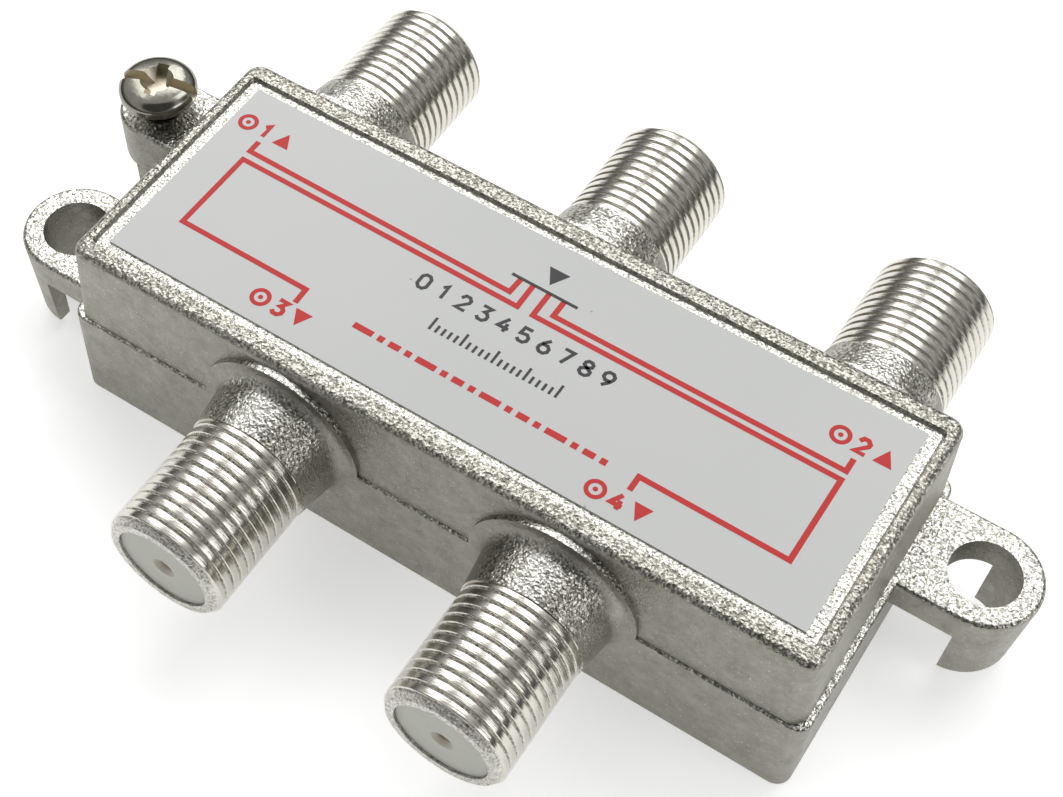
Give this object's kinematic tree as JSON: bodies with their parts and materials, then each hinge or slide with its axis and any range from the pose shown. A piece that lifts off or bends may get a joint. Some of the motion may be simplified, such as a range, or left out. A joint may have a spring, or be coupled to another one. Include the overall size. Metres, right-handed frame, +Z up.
{
  "type": "coaxial splitter",
  "caption": "Coaxial signal splitter: flat plated die-cast housing with threaded cable ports on both long sides, screw ears, an earthing screw and a label tray on top.",
  "frame": {"origin": "centre of the underside, on the plane that the housing rests on", "axes": "+X along the housing, +Y towards the side with three ports, +Z up to the label"},
  "size_m": [0.079, 0.0502, 0.0161],
  "materials": {
    "nickel_plated_zinc": "nickel plate over a coarse cast surface",
    "tinned_steel": "satin tin plate",
    "label_film": "satin film with red and black print",
    "screw_steel": "bright nickel plate",
    "insulator_plastic": "natural off-white polyethylene",
    "bushing_plastic": "natural off-white polyethylene",
    "contact_bronze": "tinned phosphor bronze",
    "board_laminate": "glass-fibre laminate with green mask",
    "ferrite": "dark grey ferrite",
    "enamelled_wire": "clear-enamelled copper",
    "capacitor_ceramic": "tan ceramic with tinned ends",
    "resistor_ceramic": "black glass over ceramic",
    "diode_plastic": "black moulding compound",
    "solder": "bright solder"
  },
  "bodies": {
    "splitter": {"housing": "nickel_plated_zinc", "back_plate": "tinned_steel", "label": "label_film", "insulator_rear_left": "insulator_plastic", "contact_rear_left": "contact_bronze", "bushing_rear_left": "bushing_plastic", "capacitor_rear_left": "capacitor_ceramic", "insulator_rear_middle": "insulator_plastic", "contact_rear_middle": "contact_bronze", "bushing_rear_middle": "bushing_plastic", "capacitor_rear_middle": "capacitor_ceramic", "insulator_rear_right": "insulator_plastic", "contact_rear_right": "contact_bronze", "bushing_rear_right": "bushing_plastic", "capacitor_rear_right": "capacitor_ceramic", "insulator_front_left": "insulator_plastic", "contact_front_left": "contact_bronze", "bushing_front_left": "bushing_plastic", "capacitor_front_left": "capacitor_ceramic", "insulator_front_right": "insulator_plastic", "contact_front_right": "contact_bronze", "bushing_front_right": "bushing_plastic", "capacitor_front_right": "capacitor_ceramic", "circuit_board": "board_laminate", "core_input_match": "ferrite", "winding_input_match": "enamelled_wire", "core_main_hybrid": "ferrite", "winding_main_hybrid": "enamelled_wire", "core_left_hybrid": "ferrite", "winding_left_hybrid": "enamelled_wire", "core_right_hybrid": "ferrite", "winding_right_hybrid": "enamelled_wire", "core_left_match": "ferrite", "winding_left_match": "enamelled_wire", "core_right_match": "ferrite", "winding_right_match": "enamelled_wire", "resistor_main_hybrid": "resistor_ceramic", "resistor_left_hybrid": "resistor_ceramic", "resistor_right_hybrid": "resistor_ceramic", "choke_rod_rear_left": "ferrite", "choke_coil_rear_left": "enamelled_wire", "diode_rear_left": "diode_plastic", "choke_rod_rear_right": "ferrite", "choke_coil_rear_right": "enamelled_wire", "diode_rear_right": "diode_plastic", "choke_rod_front_left": "ferrite", "choke_coil_front_left": "enamelled_wire", "diode_front_left": "diode_plastic", "choke_rod_front_right": "ferrite", "choke_coil_front_right": "enamelled_wire", "diode_front_right": "diode_plastic", "solder_joints": "solder"},
    "earthing_screw": {"ground_screw": "screw_steel"}
  },
  "joints": [
    {"name": "earthing_screw_turn", "type": "hinge", "parent": "splitter", "child": "earthing_screw", "pos_m": [-0.03545, 0.006, 0.0121], "axis": [0, 0, 1], "range_deg": [-990, 2700]}
  ]
}
